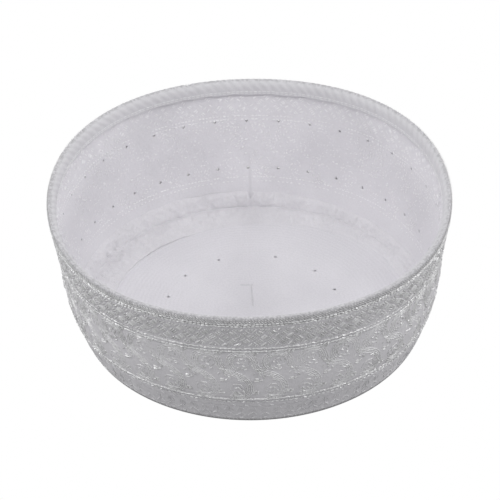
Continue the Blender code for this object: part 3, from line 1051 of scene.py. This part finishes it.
# Across, depth, turn, length and width of one fan's stitches
FAN = (
    (0.0, 0.0594, math.pi / 2, 0.0040, 0.00045),
    (-0.0013, 0.0592, 1.95, 0.0036, 0.00045),
    (0.0013, 0.0592, 1.19, 0.0036, 0.00045),
    (-0.0013, 0.0631, -0.88, 0.0038, 0.0007),
    (0.0013, 0.0631, 0.88, 0.0038, 0.0007),
    (0.0, 0.0660, 0.0, 0.0022, 0.0006),
    (0.0026, 0.0556, 0.6, 0.0020, 0.0006),
)
SEAM_OVERCAST = {"depth": 0.0672, "pitch": 0.0017, "length": 0.0016, "width": 0.00045, "slant": 1.25,
                 "radius": 0.0775, "crossing": False}

# The soft thread's dark end is painted shade on stitches turned from the light
soft_thread = thread("soft_thread", (0.96, 0.96, 0.97, 1.0), (0.56, 0.56, 0.57, 1.0), roughness=0.42,
                     gloss=2.1)
foot_work = np.vstack([round_band(np.array(FAN), FANS, FIRST_FAN, FAN_RADIUS), ring_of(**SEAM_OVERCAST)])
foot_threads = embroidery("foot_threads", foot_work, soft_thread, height=0.60)

# Rim stitching
# The folded edge is overcast with two rows of short slanting stitches and sewn down by one row
# outside and two fine rows inside.
# Depth, pitch, and length, width and slant of each row's stitches
OVERCAST_ROWS = ((0.0009, 0.00125, 0.0014, 0.00042, 0.95), (0.0022, 0.00125, 0.0021, 0.00045, 0.80))
SEWN_ROW = (0.0034, 0.0016, 0.0018, 0.00080, 0.20)
HEM_DEPTHS = (0.0055, 0.0064)
HEM_STITCH = {"pitch": 0.0021, "length": 0.0020, "width": 0.00026, "slant": 0.0}

rim_rows = np.vstack([*(ring_of(*row, crossing=False) for row in OVERCAST_ROWS), ring_of(*SEWN_ROW)])
embroidery("rim_threads", rim_rows, bright_thread, height=0.65)
hem_rows = np.vstack([ring_of(depth, **HEM_STITCH) for depth in HEM_DEPTHS])
hem_lift = np.interp(hem_rows[:, 1], *np.transpose(OUTER_FOLD[-3:]))
embroidery("hem_threads", hem_rows, cord_thread, height=0.6, lift=hem_lift, side=-1.0)

# Eyelets
# Each hole is pierced and then bound over from outside with short stitches of bright thread
# all round, which close it in a little.
BOUND_RADIUS = 0.00098
BOUND_STITCHES = 12
# Length and width
BINDING_STITCH = (0.00125, 0.00062)
BINDING_SHAKE = 0.00003
EYELET_BAND_RADIUS = 0.0868

spokes = np.arange(BOUND_STITCHES) * math.tau / BOUND_STITCHES
binding_size = np.broadcast_to(BINDING_STITCH, (BOUND_STITCHES, 2))
bound = np.column_stack([BOUND_RADIUS * np.cos(spokes), BOUND_RADIUS * np.sin(spokes), spokes, binding_size])
rows = [round_band(bound + (0.0, depth, 0.0, 0.0, 0.0), EYELETS, FIRST_EYELET, EYELET_BAND_RADIUS,
                   BINDING_SHAKE) for depth in EYELET_DEPTHS]
eyelet_rings = embroidery("eyelet_rings", np.vstack(rows), bright_thread, height=0.62)

# Crown embroidery
# The crown's outer face, which lies on the table, is worked like the band: the same scrolls in a
# ring, stitched lines beside them, a rosette in the middle and bound eyelets.
CROWN_SCROLLS = 24
CROWN_SCROLL_RADIUS = 0.057
# Radius on the crown of the scrolls' top edge, and how they are drawn in below it
SCROLLS_OUT = 0.0905
SCROLLS_DRAWN_IN = 0.93
CROWN_LINES = (0.0180, 0.0200, 0.0335, 0.0455, 0.0705, 0.0722)
CROWN_STITCH = {"pitch": 0.0017, "length": 0.0021, "width": 0.00080, "slant": -0.18}
ROSETTE_PETALS = 12
PETAL_REACH = 0.0145
PETAL_CURVE = 0.0045
# Half spread in radians, distance in from the tips, fan, and length and width of the stitches
PETAL_TIERS = ((0.17, 0.0, 0.5, 0.0042, 0.00060), (0.14, 0.0062, 0.3, 0.0040, 0.00055))
CROWN_FULLNESS = 1.25

scrolls = round_band(motif, CROWN_SCROLLS, 0.0, CROWN_SCROLL_RADIUS, seed=6)
scrolls[:, 1] = SCROLLS_OUT - scrolls[:, 1] * SCROLLS_DRAWN_IN
scrolls[:, 2] *= -1.0
rosette = []
for middle in np.arange(ROSETTE_PETALS) * math.tau / ROSETTE_PETALS:
    for place in np.linspace(-1.0, 1.0, 7):
        tip = PETAL_REACH - PETAL_CURVE * place * place
        for spread, inward, fan, length, width in PETAL_TIERS:
            rosette.append((middle + spread * place, tip - inward, math.pi / 2 - fan * place, length, width))
bound_eyelets = []
for middle in eyelet_turns:
    for across, down, turn, *size in bound:
        bound_eyelets.append((middle + across / CROWN_EYELET_RING, CROWN_EYELET_RING - down, -turn, *size))
crown_lines = [even_row(radius, **CROWN_STITCH, radius=radius) for radius in CROWN_LINES]
crown_work = np.vstack([scrolls, *crown_lines, rosette, bound_eyelets])
direction, radius, turn, length, width = crown_work.T
outward = ray(direction)
sideways = ray(direction + math.pi / 2)
place = outward * radius[:, None] + (CROWN_SHIFT, 0.0, CROWN_LIFT)
heading = sideways * np.cos(turn)[:, None] + outward * np.sin(turn)[:, None]
under = np.tile((0.0, 0.0, -1.0), (len(turn), 1))
crown_threads = sewn_threads("crown_threads", place, heading, under, length, width * CROWN_FULLNESS,
                             height=0.20, material=cord_thread)

# Reverse of the embroidery
# Inside, the under thread of the lattice, the lines and the scrolls shows as fine broken specks,
# because only short lengths of it come through the cloth.
# Share of the stitches whose under thread shows
SCROLL_SHARE = 0.55
LATTICE_SHARE = 0.7
LINE_SHARE = 0.85
SPECK_LENGTH = 0.65
SPECK_WIDTH = 0.8
LEAST_SPECK_WIDTH = 0.00055
# The binding hides what lies above, and the seam allowance what lies below
REVERSE_TOP = 0.0085
REVERSE_FOOT = 0.0555

pick = np.random.default_rng(4)
showing = ((scroll_stitches, SCROLL_SHARE), (lattice_stitches, LATTICE_SHARE), (border, LINE_SHARE))
reverse = np.vstack([work[pick.random(len(work)) < share] for work, share in showing])
reverse[:, 3] *= SPECK_LENGTH
reverse[:, 4] = np.maximum(reverse[:, 4] * SPECK_WIDTH, LEAST_SPECK_WIDTH)
reverse = reverse[(reverse[:, 1] > REVERSE_TOP) & (reverse[:, 1] < REVERSE_FOOT)]
reverse_thread = thread("reverse_thread", (0.99, 0.98, 1.0, 1.0), (0.84, 0.83, 0.85, 1.0), roughness=0.33)
reverse_threads = embroidery("reverse_threads", reverse, reverse_thread, height=0.28, lift=-BAND_THICKNESS,
                             side=-1.0, roll=0.20)

for helper in (band_pegs, crown_pegs, stitch):
    bpy.data.objects.remove(helper)
